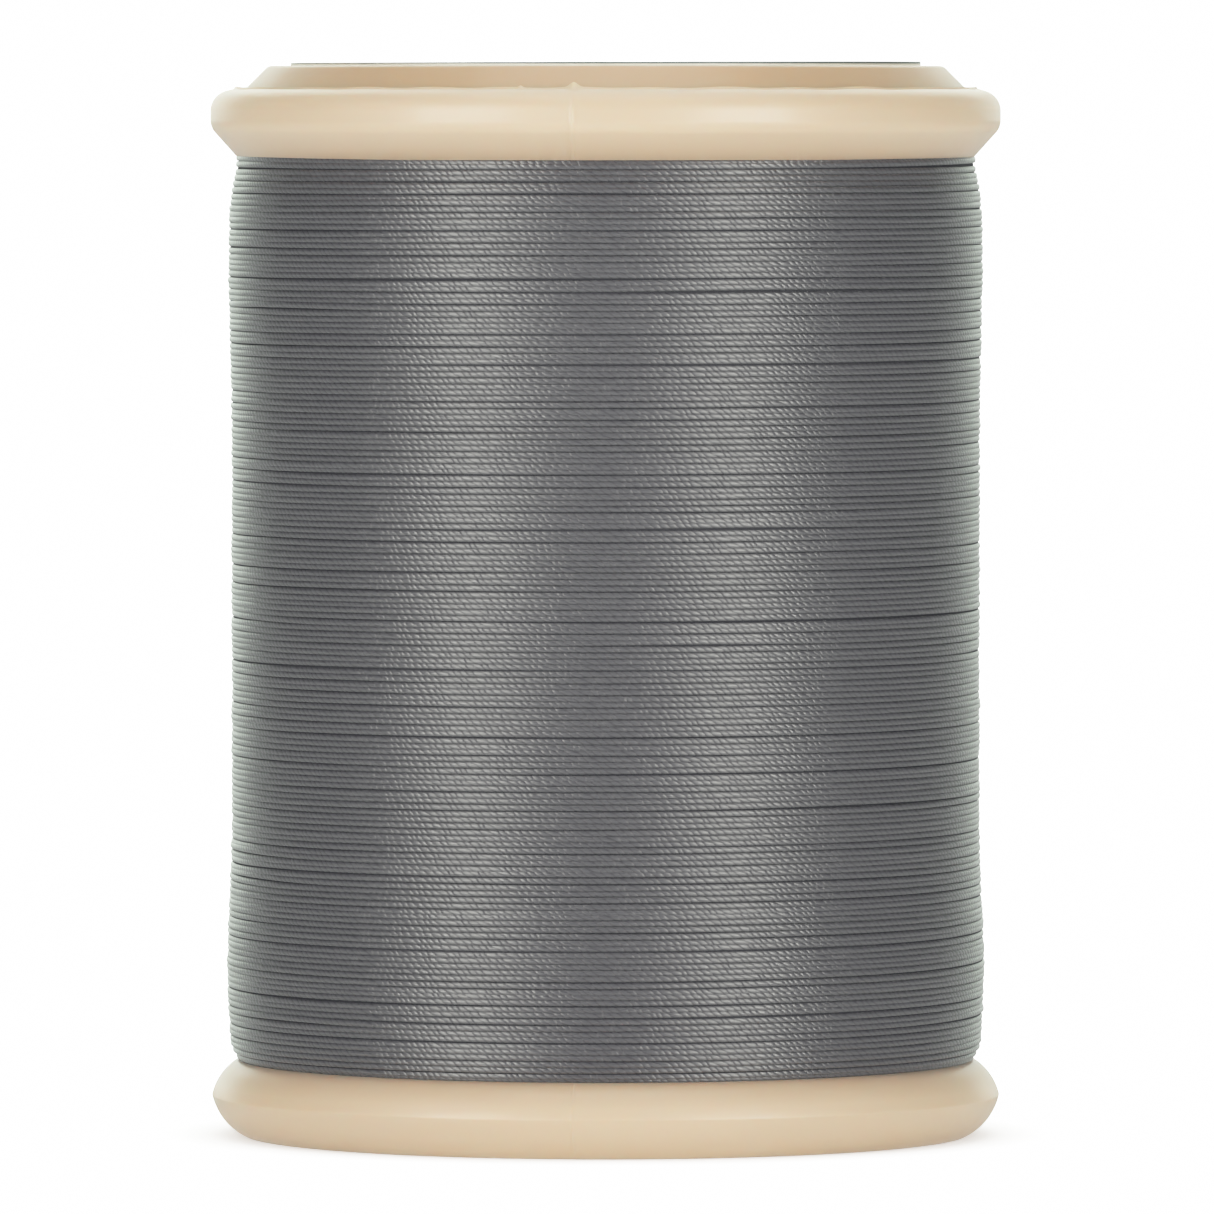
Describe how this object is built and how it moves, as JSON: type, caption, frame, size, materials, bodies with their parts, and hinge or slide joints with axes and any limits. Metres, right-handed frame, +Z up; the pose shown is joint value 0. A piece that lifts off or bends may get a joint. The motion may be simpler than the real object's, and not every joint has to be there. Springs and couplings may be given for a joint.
{
  "type": "sewing thread spool",
  "caption": "Sewing-thread spool: beaded plastic flanges, press-in shouldered end cap, paper end discs and a full package of grey thread.",
  "frame": {"origin": "centre of the lower rim, on the surface that the spool stands on", "axes": "+Z up along the bore axis, towards the end cap; -Y towards the mould's parting line, which lies 4.8 degrees off it"},
  "size_m": [0.033, 0.033, 0.0448],
  "materials": {
    "spool_plastic": "satin",
    "cap_plastic": "satin",
    "thread": "satin",
    "top_paper": "satin",
    "bottom_paper": "satin"
  },
  "bodies": {
    "root": {"spool_body": "spool_plastic", "top_cap": "cap_plastic", "thread_winding": "thread", "top_label": "top_paper", "bottom_label": "bottom_paper"}
  },
  "joints": []
}
